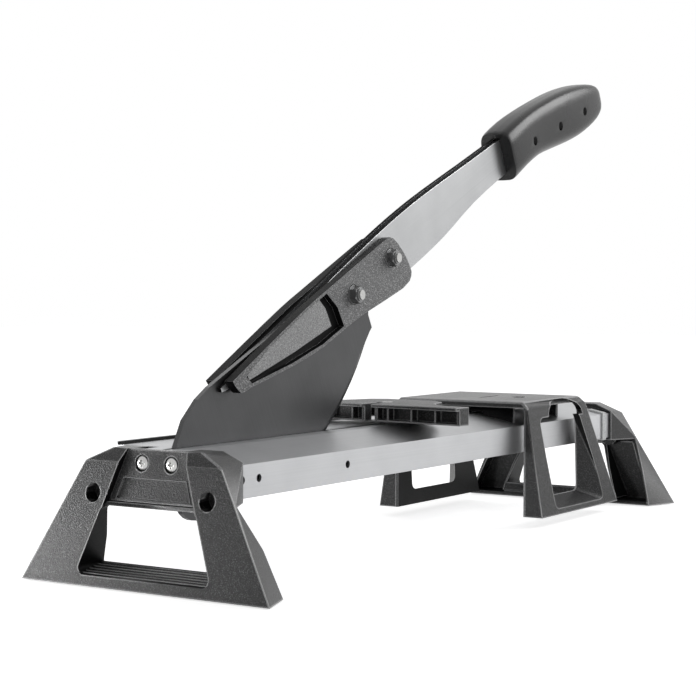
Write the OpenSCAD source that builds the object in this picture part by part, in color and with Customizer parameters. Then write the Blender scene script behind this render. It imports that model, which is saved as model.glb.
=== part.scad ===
// Hand-lever laminate cutter: two rails between two moulded feet, a pivoting blade
// on a double steel lever, a stop that swivels on the rails and a lift-off panel stand.
// Origin: centre of the footprint, on the floor. X runs along the rails to the rear foot.

/* [Feet] */
// Length over both feet, at the soles
foot_span = 700; // [660:5:740]
// Height of a foot from its sole to its flat top
foot_h = 101; // [98:0.5:106]
// Width of the foot's sole at its outer face
sole_w = 230; // [210:5:250]
// Width of the sole at its inner edge
sole_inner_w = 204; // [190:2:210]
// Depth of the sole along the rails
sole_depth = 34.5; // [30:0.5:40]
// Height of the shoulder where the side slopes end
shoulder_h = 91.4; // [88:0.2:94]
// Width of the foot at its shoulders
shoulder_w = 126; // [124:1:132]
// How far the outer face leans in at the shoulder
face_setback = 14.5; // [10:0.5:16]
// Width of the flat top
top_w = 84; // [76:2:92]
// How far the flat top sits behind the sole's outer edge
top_setback = 20.4; // [18:0.2:23]
// Wall of the moulded foot
foot_wall = 3.6; // [3:0.2:4.4]
// Reach of the rail collar behind the sole's outer edge
collar_reach = 40.2; // [38:0.2:46]
// Wall of the collar beside the rails
collar_wall = 2.4; // [2:0.1:3]
// Width of the handle window at its sill
window_w = 126; // [110:2:136]
// Height of the window sill at the outer face
sill_h = 7.5; // [6:0.5:10]
// Height of the window's upper edge
window_top_h = 59; // [54:0.5:61]
// Depth of the window frame
frame_depth = 31; // [28:0.5:33]
// Recess of the bridge panel between the legs
panel_recess = 5; // [3:0.5:6]
// Radius of the round holes through the legs
leg_hole_r = 7; // [5:0.5:8]
// Distance between the two leg holes
leg_hole_gap = 106; // [102:1:110]
// Radius of a rubber pad
pad_r = 6; // [4:0.5:7]
// How far a pad stands proud of the sole
pad_proud = 0.8; // [0.5:0.1:1.5]

/* [Rails] */
// Width over both rails
rail_w = 121; // [119:0.5:122]
// Width of the blade slot between the rails
slot_w = 5.2; // [4.8:0.1:6]
// Height of a rail from its underside to the cutting edge
rail_h = 33.6; // [31:0.2:36]
// Height of a rail's outer side wall
rail_side_h = 24.5; // [22:0.5:27]
// Width of the flat beside the slot
anvil_w = 14.5; // [12:0.5:20]
// Wall of the rails
rail_wall = 2.2; // [1.8:0.1:2.6]
// Height of the lip along the far rail's deck
lip_h = 2.4; // [2:0.2:3]
// Radius of the round holes in the rails' side walls
side_hole_r = 3; // [2:0.25:4]
// Width of a steel shear strip
strip_w = 4; // [3:0.5:5]
// Thickness of a steel shear strip
strip_t = 2; // [1.4:0.2:2.6]

/* [Lever] */
// Angle of the lever above the rails as it stands
lever_angle = 25; // [10:1:40]
// Distance of the pivot from the front foot's outer edge
pivot_inset = 62.6; // [61:0.2:70]
// Drop of the pivot below the rails' cutting edge
pivot_drop = 20.1; // [18:0.1:21]
// Radius of the pivot bolt
pivot_r = 4; // [3.5:0.25:4]
// Reach of the blade from the pivot to its tip
blade_reach = 265; // [250:5:275]
// Thickness of the blade
blade_t = 4; // [3:0.2:4.2]
// Thickness of one lever arm
arm_t = 3; // [2:0.25:4]
// Thickness of one bracket casting
bracket_t = 8; // [6.5:0.5:10]
// Reach of the bracket castings from the pivot
bracket_reach = 328; // [320:2:336]
// Radius of the bolts through the brackets
bracket_bolt_r = 4; // [3:0.25:4.5]

/* [Handle] */
// Distance of the handle's lower end from the pivot
handle_start = 541; // [520:5:560]
// Length of the handle
handle_len = 224; // [200:4:240]
// Thickness over both handle halves
handle_t = 34; // [30:1:38]
// Radius of a handle screw
handle_screw_r = 2.25; // [1.75:0.25:2.5]

/* [Stop] */
// Distance of the stop's face from the front foot's outer edge
stop_inset = 309; // [300:1:330]
// Length of the stop across the rails
stop_len = 186; // [170:2:196]
// Height of the stop from its underside to its top
stop_h = 15.4; // [13:0.2:18]
// Width of the blade gap in the stop
stop_gap = 10.5; // [10.5:0.25:13]
// Angle at which the stop stands, off square
stop_angle = 4; // [0:0.5:5]
// Radius of the stop's clamping screw
stop_screw_r = 2.5; // [2:0.1:2.5]
// Depth of the stop's plate behind its face
stop_depth = 62; // [56:1:68]

/* [Stand] */
// Distance of the stand's front from the front foot's outer edge
stand_inset = 461; // [450:1:470]
// Length of the stand at its feet
stand_len = 161; // [150:1:166]
// Length of the stand's top
stand_top_len = 120; // [112:1:126]
// Width over the stand's feet
stand_w = 174.6; // [168:1:182]
// Width over the stand's top
stand_top_w = 142; // [138:1:146]
// Clear width between the stand's legs
stand_inner_w = 134; // [128:1:135]
// Height of the stand's top above the rails' cutting edge
stand_rise = 13.1; // [10:0.1:16]
// Height of the stand from its feet to its top
stand_h = 105; // [95:1:110]
// Thickness of the stand's top plate
stand_plate = 5.6; // [4:0.2:6]

/* [Hidden] */
$fn = 48;

// Overrun of every cut past the face that it opens
over = 1;
// Thickness of the thin slices that a loft is stretched over
slice = 0.02;
// Clearance of a part that is seated in another
seat_gap = 0.2;
// Radial clearance of a running fit
run_gap = 0.06;

// Heights, from the floor up
sole_z = pad_proud;
top_z = sole_z + foot_h;
deck_step = 0.4;
anvil_z = top_z - deck_step;
rail_z = anvil_z - rail_h;
rail_side_z = rail_z + rail_side_h;
shoulder_z = sole_z + shoulder_h;
pivot_z = anvil_z - pivot_drop;

// Lever outlines, as shares of a named reach: along the lever, then across it
blade_back_shares = [[-0.101, -0.03], [-0.0475, 0.106], [0.02, 0.157], [0.0975, 0.182],
    [0.159, 0.189], [0.2, 0.189]];
blade_tang_shares = [[1.2, 0.189], [1.2, 0.075], [1.02, 0.06], [0.998, 0.012], [1, -0.034],
    [0.984, -0.04]];
blade_edge_shares = [[0.984, -0.04], [0.848, -0.154], [0.634, -0.2113]];
blade_belly_shares = [[0.634, -0.2113], [0.502, -0.2468], [-0.0343, -0.1287]];
blade_heel_share = 0.083;
blade_heel_centre_shares = [-0.02, -0.0468];
// The free part of an arm, as shares of the distance to the handle
arm_top_shares = [[0.094, 0.0825], [0.2174, 0.0925], [0.4076, 0.1045], [0.555, 0.1132],
    [0.65, 0.1158], [0.74, 0.1145], [0.8804, 0.1085]];
arm_bottom_shares = [[0.8708, 0.0383], [0.7473, 0.0258], [0.6331, 0.0224],
    [0.5571, 0.0258], [0.4484, 0.0353], [0.3328, 0.0395], [0.2405, 0.0495],
    [0.1358, 0.0686], [0.094, 0.076]];
bracket_shares = [[0.174, 0.1448], [0.191, 0.1055], [0.233, 0.0985], [0.402, 0.0668],
    [0.54, 0.0494], [0.65, 0.0473], [0.75, 0.0424], [0.944, 0.022], [0.995, 0.034],
    [1, 0.0588], [0.985, 0.11], [0.954, 0.162], [0.928, 0.1722], [0.89, 0.1738],
    [0.616, 0.1707], [0.518, 0.169], [0.335, 0.157]];
recess_shares = [[0.226, 0.13], [0.238, 0.106], [0.402, 0.0745], [0.54, 0.0572],
    [0.646, 0.0555], [0.639, 0.112], [0.61, 0.1635], [0.518, 0.162], [0.335, 0.15]];
recess_panel_shares = [[0.234, 0.131], [0.237, 0.115], [0.427, 0.0925], [0.6, 0.0785],
    [0.594, 0.13], [0.578, 0.1615], [0.518, 0.161], [0.335, 0.149]];
bolt_place_shares = [[0.719, 0.1088], [0.92, 0.1207]];

// Handle stations: share of its length, then top, underside and half thickness
// as shares of the handle's length
handle_shares = [[0, 0.1065, -0.1065, 0.95], [0.02, 0.1135, -0.108, 1],
    [0.14, 0.119, -0.0985, 1], [0.27, 0.1155, -0.1005, 0.94], [0.4, 0.1055, -0.1215, 0.92],
    [0.55, 0.0895, -0.1485, 0.93], [0.68, 0.0685, -0.166, 0.94],
    [0.8, 0.0415, -0.1705, 0.91], [0.89, 0.0135, -0.1665, 0.84],
    [0.95, -0.0135, -0.1515, 0.74], [0.985, -0.0435, -0.1275, 0.52],
    [1, -0.0725, -0.1045, 0.2]];
handle_screw_shares = [[0.22, -0.0125], [0.485, -0.0435], [0.745, -0.0705]];
// The tang of an arm inside the handle, as shares of the handle's length
tang_top_shares = [[0.02, 0.079], [0.22, 0.058], [0.44, 0.03], [0.66, -0.004],
    [0.866, -0.0295]];
tang_bottom_shares = [[0.866, -0.0925], [0.66, -0.0905], [0.44, -0.0853], [0.22, -0.0745],
    [0.02, -0.0725]];
handle_rise_share = 0.0706;
handle_power = 0.52;
handle_sink_r = handle_screw_r * 2;
handle_sink = handle_t * 0.29;
handle_arc_steps = 18;
handle_curve = spline(handle_shares, 2);

// How far the rest pose reaches past the front foot, for the place of the origin
handle_rise = handle_rise_share * handle_start;
function on_handle(p) = [handle_start, handle_rise] + p * handle_len;
function handle_point(station, level) =
    on_handle([handle_shares[station][0], handle_shares[station][level]]);
handle_points = [for (level = [1, 2], station = [0 : len(handle_shares) - 1])
    handle_point(station, level)];
handle_reach_x = max([for (p = handle_points)
    p[0] * cos(lever_angle) - p[1] * sin(lever_angle)]);
total_len = max(foot_span, pivot_inset + handle_reach_x);
front_x = -total_len / 2;
rear_x = front_x + foot_span;
pivot_x = front_x + pivot_inset;
stop_x = front_x + stop_inset;
stand_x = front_x + stand_inset;

// Foot
foot_face_angle = atan(face_setback / shoulder_h);
foot_edge_slope = (sole_w - shoulder_w) / 2 / shoulder_h;
leg_inner_slope = 0.38;
panel_top_w = window_w - 2 * leg_inner_slope * (foot_h - sill_h);
panel_bottom_w = window_w - 2 * leg_inner_slope * (window_top_h - sill_h);
collar_w = rail_w + 2 * collar_wall;
collar_top_w = top_w + 2 * foot_wall;
collar_gap_w = slot_w + 2 * anvil_w + 4 * foot_wall;
collar_corner_h = shoulder_h + collar_wall;
collar_floor_h = rail_h + deck_step + collar_wall;
collar_z = top_z - collar_floor_h;
rail_start = top_setback + foot_wall;
flank_bend_h = 35;
flank_bend_x = 25.7;
flank_draw = 8;
flank_top_x = foot_wall + face_setback * window_top_h / shoulder_h - deck_step;
window_round = 6;
jamb_t = 2.6;
sill_rise = 6;
sill_ribs = 6;
sill_rib_r = 1.1;
bridge_bar_r = 3.6;
plate_top_h = 81.3;
plate_bottom_h = 66;
plate_margin = 6.3;
plate_depth = 1.2;
leg_hole_h = 67.7;
leg_boss_len = 22;
leg_hole_step = 0.5;
foot_screw_gap = 27.2;
foot_screw_h = 90.7;
foot_screw_r = 2.4;
foot_screw_head_r = 5;
foot_screw_head_h = 3;
foot_screw_len = 26;
screw_sink_r = 6.2;
screw_sink = 2.2;
pad_x = 12;
pad_y_share = 0.87;
pad_seat = 1.2;

// Rails
rail_half = rail_w / 2;
slot_half = slot_w / 2;
rail_len = foot_span - 2 * rail_start;
web_t = 3;
lip_t = 2.4;
deck_t = 2;
edge_strip_t = 2;
port_r = 3.8;
port_bore_r = 2.3;
collar_ring_x = 642;
collar_ring_len = 8;
collar_ring_t = 1.5;
deck_margin = 4.2;
side_hole_insets = [pivot_inset - 20.2, pivot_inset, pivot_inset + 117.3];
nut_h_share = 0.8;
nut_af_share = 1.625;
head_h_share = 0.66;

// Joints of the lever
bracket_y = blade_t / 2 + arm_t;
lever_half_t = bracket_y + bracket_t;
bevel_w = 4.5;
edge_land = 0.4;
bolt_sink_r = 8.6;
bolt_sink = 1.4;
recess_depth_share = 0.68;
recess_panel_share = 0.16;
washer_t = 1.6;
washer_r_share = 2;
bolt_end = 2.4;
spacer_len = 150;
pivot_head_h_share = 1.2;
pivot_head_r_share = 1.62;
pivot_nut_h_share = 1.25;
hex_key_share = 0.7;
pivot_spacer_share = 2.2;

// Stop
stop_lip = 5.5;
stop_plate_t = 3;
stop_rib_t = 1.6;
stop_rib_gap = 24.5;
stop_first_rib = 19;
stop_web_x = 8;
stop_wing_depth = 14;
stop_pivot_x = 26;
stop_slot_len = 18.5;
stop_boss_r = 6;
stop_head_r = 4.6;
stop_head_h = 2.4;
stop_clear = lip_h + 1.5 * seat_gap;
clamp_plate = [26, 20, 4];

// Stand
stand_z = anvil_z + stand_rise - stand_h;
stand_top_z = anvil_z + stand_rise;
stand_half = stand_w / 2;
stand_inner = stand_inner_w / 2;
stand_inner_len = 124;
stand_sill = 5;
stand_strip = 21;
stand_rear_strip = 25;
stand_inner_strip = 15;
stand_arch_h = 10;
stand_round = 6;
stand_arch_shares = [[0.33, 0], [0.36, 0.5], [0.45, 0.85], [0.62, 0.98], [0.78, 0.85],
    [0.9, 0.4], [0.93, 0]];
stand_hole_r = 7;
stand_slot = [38, 3.2];
stand_rib_t = 3;

// Outline helpers
function unit(v) = v / norm(v);
function arc(c, r, from, to, steps) = [for (i = [0 : steps])
    c + r * [cos(from + (to - from) * i / steps), sin(from + (to - from) * i / steps)]];
function bend(p, steps) = [for (i = [0 : steps]) let (t = i / steps)
    (1 - t) * (1 - t) * p[0] + 2 * t * (1 - t) * p[1] + t * t * p[2]];
function sweep(from, to) = to - from > 180 ? to - from - 360
    : to - from < -180 ? to - from + 360 : to - from;
function corner(a, p, b, r, steps) =
    let (u = unit(a - p), v = unit(b - p), half = acos(u * v) / 2,
         c = p + unit(u + v) * r / sin(half),
         start = p + u * r / tan(half) - c, end = p + v * r / tan(half) - c,
         from = atan2(start[1], start[0]), turn = sweep(from, atan2(end[1], end[0])))
    [for (i = [0 : steps]) c + r * [cos(from + turn * i / steps), sin(from + turn * i / steps)]];
function rounded(p, r, steps = 5) = [for (i = [0 : len(p) - 1])
    each corner(p[(i + len(p) - 1) % len(p)], p[i], p[(i + 1) % len(p)], r, steps)];
function mirrored(p) = concat(p, [for (i = [len(p) - 1 : -1 : 0]) [-p[i][0], p[i][1]]]);
// Smooth curve through points, by the Catmull-Rom rule
function spline(p, steps) = concat([for (i = [0 : len(p) - 2])
    let (a = p[max(i - 1, 0)], b = p[i], c = p[i + 1], d = p[min(i + 2, len(p) - 1)])
    for (k = [0 : steps - 1]) let (t = k / steps)
        (2 * b + t * (c - a) + t * t * (2 * a - 5 * b + 4 * c - d)
            + t * t * t * (3 * b - 3 * c + d - a)) / 2], [p[len(p) - 1]]);

// Solids along one axis from an outline across it
module along_x(from, to, outline) {
    translate([from, 0, 0]) rotate([90, 0, 90]) linear_extrude(to - from) polygon(outline);
}
module along_y(from, to, outline) {
    translate([0, to, 0]) rotate([90, 0, 0]) linear_extrude(to - from) polygon(outline);
}
module rod_x(from, to, y, z, r) {
    translate([from, y, z]) rotate([0, 90, 0]) cylinder(h = to - from, r = r);
}
module rod_y(from, to, x, z, r) {
    translate([x, to, z]) rotate([90, 0, 0]) cylinder(h = to - from, r = r);
}
module hex_y(from, to, x, z, af) {
    translate([x, to, z]) rotate([90, 0, 0]) cylinder(h = to - from, r = af / sqrt(3), $fn = 6);
}
module flat_at(z, outline) {
    translate([0, 0, z]) linear_extrude(slice) polygon(outline);
}
// Skin over rings of equally many points
module loft(rings) {
    n = len(rings[0]);
    last = len(rings) - 1;
    polyhedron(points = [for (ring = rings) each ring],
        faces = concat([[for (i = [0 : n - 1]) i]],
            [for (k = [0 : last - 1], i = [0 : n - 1]) let (j = (i + 1) % n)
                each [[k * n + i, (k + 1) * n + i, k * n + j],
                      [k * n + j, (k + 1) * n + i, (k + 1) * n + j]]],
            [[for (i = [n - 1 : -1 : 0]) last * n + i]]));
}

// Foot, drawn with its outer face at x = 0
function foot_edge_w(h) = sole_w - 2 * foot_edge_slope * h;
function leg_inner_w(h) = window_w - 2 * leg_inner_slope * (h - sill_h);
function face_x(h) = face_setback * h / shoulder_h;
module foot_level(h, front, front_w, rear, rear_w) {
    flat_at(sole_z + h, [[front, -front_w / 2], [front, front_w / 2], [rear, rear_w / 2],
        [rear, -rear_w / 2]]);
}
// Legs: from the sole up to the collar's underside, drawn in behind
module legs_block(inset) {
    low = inset;
    high = collar_z - sole_z - inset + (inset > 0 ? 0 : collar_wall);
    reach = inset > 0 ? over : 0;
    hull() {
        foot_level(low, face_x(low) + inset, foot_edge_w(low) - 3 * inset,
            sole_depth + reach, sole_inner_w - 2 * inset);
        foot_level(flank_bend_h, face_x(flank_bend_h) + inset,
            foot_edge_w(flank_bend_h) - 3 * inset, flank_bend_x + reach,
            foot_edge_w(flank_bend_h) - flank_draw - 2 * inset);
        foot_level(high - slice, face_x(high) + inset, foot_edge_w(high) - 3 * inset,
            flank_top_x + inset + reach, foot_edge_w(high) - 3 * inset);
    }
}
// Collar: from the face back to the rectangle round the rails
module collar_block() {
    floor_h = collar_z - sole_z;
    hull() {
        foot_level(floor_h, face_x(floor_h), foot_edge_w(floor_h), collar_reach, collar_w);
        foot_level(shoulder_h - slice, face_setback, shoulder_w, collar_reach, collar_w);
        foot_level(collar_corner_h - slice, collar_reach - slice, collar_w, collar_reach, collar_w);
        foot_level(foot_h - slice, top_setback, top_w, collar_reach, collar_top_w);
    }
}
function window_outline(grow) = [
    [-leg_inner_w(sill_h) / 2 - grow, sole_z + sill_h - grow],
    [leg_inner_w(sill_h) / 2 + grow, sole_z + sill_h - grow],
    [leg_inner_w(window_top_h) / 2 + grow, sole_z + window_top_h + grow],
    [-leg_inner_w(window_top_h) / 2 - grow, sole_z + window_top_h + grow]];
function rail_envelope(grow) = [
    [-rail_half - grow, rail_z - grow], [rail_half + grow, rail_z - grow],
    [rail_half + grow, rail_side_z + grow],
    [slot_half + anvil_w + grow, anvil_z + grow],
    [-slot_half - anvil_w - grow, anvil_z + grow],
    [-rail_half - grow, rail_side_z + grow]];
module foot() {
    difference() {
        union() {
            collar_block();
            difference() {
                legs_block(0);
                legs_block(foot_wall);
            }
            intersection() {
                along_x(face_x(sill_h), frame_depth, window_outline(jamb_t));
                legs_block(0);
            }
            // Beam behind the bridge panel, its lower edge rounded off
            hull() {
                along_y(-panel_bottom_w / 2 - jamb_t, panel_bottom_w / 2 + jamb_t, [
                    [face_x(window_top_h) + bridge_bar_r, collar_z + foot_wall],
                    [rail_start, collar_z + foot_wall], [rail_start, collar_z - foot_wall],
                    [rail_start - bridge_bar_r, sole_z + window_top_h]]);
                rod_y(-panel_bottom_w / 2 - jamb_t, panel_bottom_w / 2 + jamb_t,
                    face_x(window_top_h) + 2 * bridge_bar_r,
                    sole_z + window_top_h + bridge_bar_r, bridge_bar_r);
            }
            along_y(-window_w / 2, window_w / 2, [[face_x(0) + foot_wall, sole_z],
                [frame_depth, sole_z], [frame_depth, sole_z + sill_h + sill_rise],
                [face_x(sill_h), sole_z + sill_h], [foot_wall, sole_z + foot_wall]]);
            for (side = [-1, 1]) rod_x(face_x(leg_hole_h) + foot_wall, leg_boss_len + jamb_t,
                side * leg_hole_gap / 2, sole_z + leg_hole_h, leg_hole_r + jamb_t);
        }
        // Window, with the sloping ribbed sill left standing
        difference() {
            along_x(-over, collar_reach + over, rounded(window_outline(0), window_round));
            along_y(-window_w, window_w, [[-over, sole_z], [frame_depth, sole_z],
                [frame_depth, sole_z + sill_h + sill_rise], [-over, sole_z + sill_h]]);
            sill_step = (frame_depth - foot_wall) / sill_ribs;
            for (i = [0 : sill_ribs - 1]) let (x = foot_wall + sill_step * (i + 0.5))
                rod_y(-window_w, window_w, x,
                    sole_z + sill_h + sill_rise * x / frame_depth, sill_rib_r);
        }
        // Bridge panel, set back between the legs
        translate([0, 0, sole_z]) rotate([0, foot_face_angle, 0]) difference() {
            along_x(-panel_recess, panel_recess, [[-panel_bottom_w / 2, window_top_h - over],
                [panel_bottom_w / 2, window_top_h - over],
                [panel_top_w / 2, foot_h + 2 * over], [-panel_top_w / 2, foot_h + 2 * over]]);
            rod_y(-panel_bottom_w / 2, panel_bottom_w / 2, panel_recess + bridge_bar_r / 3,
                window_top_h + bridge_bar_r / 2, bridge_bar_r);
        }
        translate([0, 0, sole_z]) rotate([0, foot_face_angle, 0])
            along_x(panel_recess - over, panel_recess + plate_depth,
                rounded([for (p = [[-1, plate_bottom_h], [1, plate_bottom_h],
                    [1, plate_top_h], [-1, plate_top_h]])
                    [p[0] * (leg_inner_w(p[1]) / 2 - plate_margin), p[1]]], plate_depth));
        // Rails, screws and leg holes
        along_x(rail_start, collar_reach + over, rail_envelope(seat_gap));
        translate([rail_start, -collar_gap_w / 2, anvil_z - over])
            cube([collar_reach, collar_gap_w, foot_wall + over]);
        // Notch for the heel of the blade
        translate([rail_start, -slot_half, collar_z - over])
            cube([collar_reach, slot_w, rail_z - collar_z + 2 * over]);
        for (side = [-1, 1]) {
            rod_x(-over, collar_reach, side * foot_screw_gap / 2, sole_z + foot_screw_h,
                foot_screw_r + seat_gap / 2);
            rod_x(-over, face_x(foot_screw_h) + panel_recess + screw_sink,
                side * foot_screw_gap / 2, sole_z + foot_screw_h, screw_sink_r);
            rod_x(-over, leg_boss_len - (side > 0 ? leg_hole_step : 0),
                side * leg_hole_gap / 2, sole_z + leg_hole_h, leg_hole_r);
            translate([pad_x, side * pad_y_share * sole_w / 2, sole_z - over])
                cylinder(h = pad_seat + over, r = pad_r);
        }
    }
}
module pads() {
    for (side = [-1, 1]) translate([pad_x, side * pad_y_share * sole_w / 2, 0])
        cylinder(h = pad_proud + pad_seat, r = pad_r - seat_gap / 2);
}
// Cross-recessed pan-head screws, driven along +x
module foot_screws() {
    seat = face_x(foot_screw_h) + panel_recess + screw_sink;
    for (side = [-1, 1]) translate([seat, side * foot_screw_gap / 2, sole_z + foot_screw_h])
        rotate([0, 90, 0]) difference() {
            union() {
                rotate_extrude() polygon(concat([[0, 0]],
                    arc([0, 0], foot_screw_head_r, 0, 0, 1),
                    bend([[foot_screw_head_r, -foot_screw_head_h / 2],
                        [foot_screw_head_r * 0.8, -foot_screw_head_h],
                        [0, -foot_screw_head_h]], 6)));
                cylinder(h = foot_screw_len, r = foot_screw_r - seat_gap);
            }
            for (turn = [0, 90]) rotate([0, 0, turn])
                translate([-foot_screw_head_r / 2, -foot_screw_r / 4, -foot_screw_head_h - over])
                    cube([foot_screw_head_r, foot_screw_r / 2, foot_screw_head_h * 0.6 + over]);
        }
}
module front_foot() { color("#3a3b3d") translate([front_x, 0, 0]) foot(); }
module rear_foot() { color("#3a3b3d") translate([rear_x, 0, 0]) mirror([1, 0, 0]) foot(); }
module front_foot_pads() { color("#202020") translate([front_x, 0, 0]) pads(); }
module rear_foot_pads() { color("#202020") translate([rear_x, 0, 0]) mirror([1, 0, 0]) pads(); }
module front_foot_screws() { color("silver") translate([front_x, 0, 0]) foot_screws(); }
module rear_foot_screws() {
    color("silver") translate([rear_x, 0, 0]) mirror([1, 0, 0]) foot_screws();
}

// Rail section on the near side, as an outline across the rails
function rail_outline() = [[-rail_half, rail_z], [-rail_half, rail_side_z],
    [-slot_half - anvil_w, anvil_z], [-slot_half, anvil_z], [-slot_half, rail_z]];
function rail_cavity() = [[-rail_half + rail_wall, rail_z + rail_wall],
    [-rail_half + rail_wall, rail_side_z - rail_wall / 2],
    [-slot_half - anvil_w, anvil_z - rail_wall],
    [-slot_half - web_t, anvil_z - rail_wall], [-slot_half - web_t, rail_z + rail_wall]];
port_y = foot_screw_gap / 2;
port_z = sole_z + foot_screw_h;
module rail() {
    from = front_x + rail_start;
    to = rear_x - rail_start;
    difference() {
        along_x(from, to, rail_outline());
        difference() {
            along_x(from - over, to + over, rail_cavity());
            rod_x(from - 2 * over, to + 2 * over, -port_y, port_z, port_r);
            along_x(from - 2 * over, to + 2 * over, [[-port_y - rail_wall / 2, port_z],
                [-port_y + rail_wall / 2, port_z], [-port_y + rail_wall / 2, anvil_z],
                [-port_y - rail_wall / 2, anvil_z]]);
        }
        rod_x(from - over, to + over, -port_y, port_z, port_bore_r);
        for (inset = side_hole_insets)
            rod_y(-rail_half - over, -rail_half + rail_wall + over, front_x + inset, pivot_z,
                side_hole_r);
        rod_y(-slot_half - web_t - over, over, pivot_x, pivot_z, pivot_r + run_gap);
        along_x(from - over, to + over, [[-slot_half - strip_w, anvil_z - strip_t],
            [over, anvil_z - strip_t], [over, anvil_z + over],
            [-slot_half - strip_w, anvil_z + over]]);
    }
}
module near_rail() { color("#c9cbcd") rail(); }
module far_rail() {
    from = front_x + collar_reach + deck_margin;
    to = front_x + collar_ring_x - deck_margin / 2;
    deck_y = slot_half + anvil_w;
    color("#c9cbcd") union() {
        mirror([0, 1, 0]) rail();
        along_x(from, to, [[deck_y - rail_wall, anvil_z - deck_t], [deck_y, anvil_z - deck_t],
            [rail_half - lip_t, anvil_z - deck_t - deck_step],
            [rail_half - lip_t, rail_side_z - deck_t], [rail_half, rail_side_z - deck_t],
            [rail_half, anvil_z + lip_h - deck_step], [rail_half - lip_t / 2, anvil_z + lip_h],
            [rail_half - lip_t, anvil_z + lip_h - deck_step], [rail_half - lip_t, anvil_z - deck_step],
            [deck_y, anvil_z], [deck_y - rail_wall, anvil_z]]);
    }
}
module far_edge_strip() {
    from = front_x + collar_reach + deck_margin + edge_strip_t;
    to = front_x + collar_ring_x - deck_margin / 2 - edge_strip_t;
    color("#242424") along_x(from, to, [
        [rail_half - lip_t - edge_strip_t, anvil_z - deck_step + seat_gap / 4],
        [rail_half - lip_t, anvil_z - deck_step + seat_gap / 4],
        [rail_half - lip_t, anvil_z + lip_h - deck_step],
        [rail_half - lip_t - edge_strip_t / 2, anvil_z + lip_h - deck_step]]);
}
module shear_strip() {
    along_x(front_x + rail_start, rear_x - rail_start, [[-slot_half - strip_w, anvil_z - strip_t],
        [-slot_half, anvil_z - strip_t], [-slot_half, anvil_z], [-slot_half - strip_w, anvil_z]]);
}
module near_shear_strip() { color("#8f9295") shear_strip(); }
module far_shear_strip() { color("#8f9295") mirror([0, 1, 0]) shear_strip(); }
module rail_end_collar() {
    from = front_x + collar_ring_x;
    to = from + collar_ring_len;
    color("#9c9ea1") difference() {
        along_x(from, to, rail_envelope(collar_ring_t));
        along_x(from - over, to + over, rail_envelope(0));
        translate([from - over, -rail_half + anvil_w, rail_side_z])
            cube([collar_ring_len + 2 * over, rail_w - 2 * anvil_w, rail_h]);
    }
}

// Everything on the lever is drawn with the pivot at the origin and the lever along x
module lever_frame() {
    translate([pivot_x, 0, pivot_z]) rotate([0, -lever_angle, 0]) children();
}
function scaled(shares, size) = [for (p = shares) p * size];
bolt_places = scaled(bolt_place_shares, bracket_reach);
// The cutting edge starts the outline, so that its bevel is the first stretch of points
blade_edge = concat(bend(scaled(blade_edge_shares, blade_reach), 8),
    bend(scaled(blade_belly_shares, blade_reach), 10));
blade_rest = concat(
    arc(scaled([blade_heel_centre_shares], blade_reach)[0], blade_heel_share * blade_reach,
        260, 170, 6),
    scaled(blade_back_shares, blade_reach), scaled(blade_tang_shares, blade_reach));
function along(p, i) = unit(p[min(i + 1, len(p) - 1)] - p[max(i - 1, 0)]);
blade_inset = [for (i = [0 : len(blade_edge) - 1]) let (d = along(blade_edge, i))
    blade_edge[i] + bevel_w * [d[1], -d[0]] * min(1, i / 2, (len(blade_edge) - 1 - i) / 2)];
function ring_y(outline, y) = [for (p = outline) [p[0], y, p[1]]];
module blade() {
    full = concat(blade_edge, blade_rest);
    ground = concat(blade_inset, blade_rest);
    color("#5a5d60") lever_frame() difference() {
        loft([ring_y(ground, blade_t / 2), ring_y(full, edge_land / 2),
            ring_y(full, -edge_land / 2), ring_y(ground, -blade_t / 2)]);
        rod_y(-blade_t, blade_t, 0, 0, pivot_r + run_gap);
        for (p = bolt_places) rod_y(-blade_t, blade_t, p[0], p[1], bracket_bolt_r + seat_gap);
    }
}
function arm_outline() = concat(
    spline(concat(scaled(arm_top_shares, handle_start),
        [for (p = tang_top_shares) on_handle(p)]), 3),
    spline(concat([for (p = tang_bottom_shares) on_handle(p)],
        scaled(arm_bottom_shares, handle_start)), 3));
module arm() {
    outline = arm_outline();
    difference() {
        along_y(-bracket_y, -blade_t / 2, outline);
        for (p = bolt_places) rod_y(-bracket_y - over, 0, p[0], p[1], bracket_bolt_r + seat_gap);
        for (p = handle_screw_places) rod_y(-bracket_y - over, 0, p[0], p[1],
            handle_screw_r + seat_gap);
    }
}
module near_arm() { color("#b9bbbd") lever_frame() arm(); }
module far_arm() { color("#b9bbbd") lever_frame() mirror([0, 1, 0]) arm(); }
// Bar between the arms, round the three handle screws
function spacer_outline(grow) = let (reach = spacer_len / 10 + grow, rise = 2 * blade_t + grow,
    first = handle_screw_places[0], last = handle_screw_places[2])
    [first + [-reach, -rise], last + [reach, -rise], last + [reach, rise], first + [-reach, rise]];
module arm_spacer() {
    color("#77797b") lever_frame() difference() {
        along_y(-blade_t / 2, blade_t / 2, spacer_outline(0));
        for (p = handle_screw_places) rod_y(-blade_t, blade_t, p[0], p[1],
            handle_screw_r + seat_gap);
    }
}
module bracket() {
    difference() {
        along_y(-lever_half_t, -bracket_y, spline(concat(scaled(bracket_shares, bracket_reach),
            scaled([bracket_shares[0]], bracket_reach)), 2));
        difference() {
            along_y(-lever_half_t - over, -lever_half_t + bracket_t * recess_depth_share,
                scaled(recess_shares, bracket_reach));
            along_y(-lever_half_t + bracket_t * recess_panel_share, -bracket_y,
                scaled(recess_panel_shares, bracket_reach));
        }
        for (p = bolt_places) {
            rod_y(-lever_half_t - over, 0, p[0], p[1], bracket_bolt_r + seat_gap);
            rod_y(-lever_half_t - over, -lever_half_t + bolt_sink, p[0], p[1], bolt_sink_r);
        }
    }
}
module near_bracket() { color("#4a4c4e") lever_frame() bracket(); }
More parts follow.
